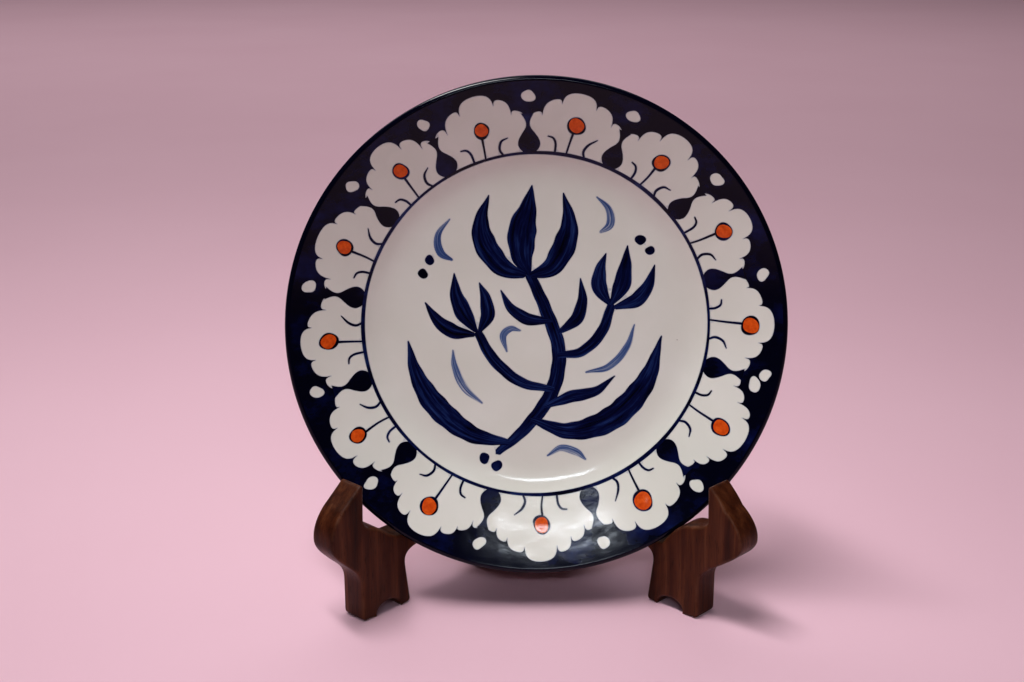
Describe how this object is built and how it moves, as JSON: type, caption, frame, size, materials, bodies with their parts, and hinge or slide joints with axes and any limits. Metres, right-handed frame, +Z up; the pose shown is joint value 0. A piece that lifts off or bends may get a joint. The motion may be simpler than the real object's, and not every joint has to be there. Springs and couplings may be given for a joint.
{
  "type": "hand painted ceramic plate",
  "caption": "Round dished ceramic plate with a painted floral border, leaning on a folding wooden plate stand with brass hinges.",
  "frame": {"origin": "centre of the bounding box's footprint, on the surface the stand's feet rest on", "axes": "+Z up, +Y towards the back where the hinges are, +X to the right as the plate is looked at; the painted face looks towards -Y"},
  "size_m": [0.254, 0.1118, 0.2708],
  "materials": {
    "glazed_ceramic": "clear gloss glaze over hand painted cobalt blue and orange",
    "dark_wood": "dark brown oiled hardwood, satin",
    "brass": "satin, slightly tarnished"
  },
  "bodies": {
    "left_side": {"left_board": "dark_wood", "lower_hinge_left_leaf": "brass", "lower_hinge_pin": "brass", "lower_hinge_left_screw_1": "brass", "lower_hinge_left_screw_2": "brass", "upper_hinge_left_leaf": "brass", "upper_hinge_pin": "brass", "upper_hinge_left_screw_1": "brass", "upper_hinge_left_screw_2": "brass"},
    "right_side": {"right_board": "dark_wood", "lower_hinge_right_leaf": "brass", "lower_hinge_right_screw_1": "brass", "lower_hinge_right_screw_2": "brass", "upper_hinge_right_leaf": "brass", "upper_hinge_right_screw_1": "brass", "upper_hinge_right_screw_2": "brass"},
    "plate": {"plate": "glazed_ceramic"}
  },
  "joints": [
    {"name": "plate_lift", "type": "slide", "parent": "left_side", "child": "plate", "axis": [0, -0.238, 0.9713], "range_m": [0, 0.26]},
    {"name": "stand_fold", "type": "hinge", "parent": "left_side", "child": "right_side", "pos_m": [-0.0039, 0.04688, 0.098], "axis": [0, 0, -1], "range_deg": [0, 90]}
  ],
  "couplings": [
    {"joint": "stand_fold", "follows": "plate_lift", "rad_per_m": 6.041}
  ]
}
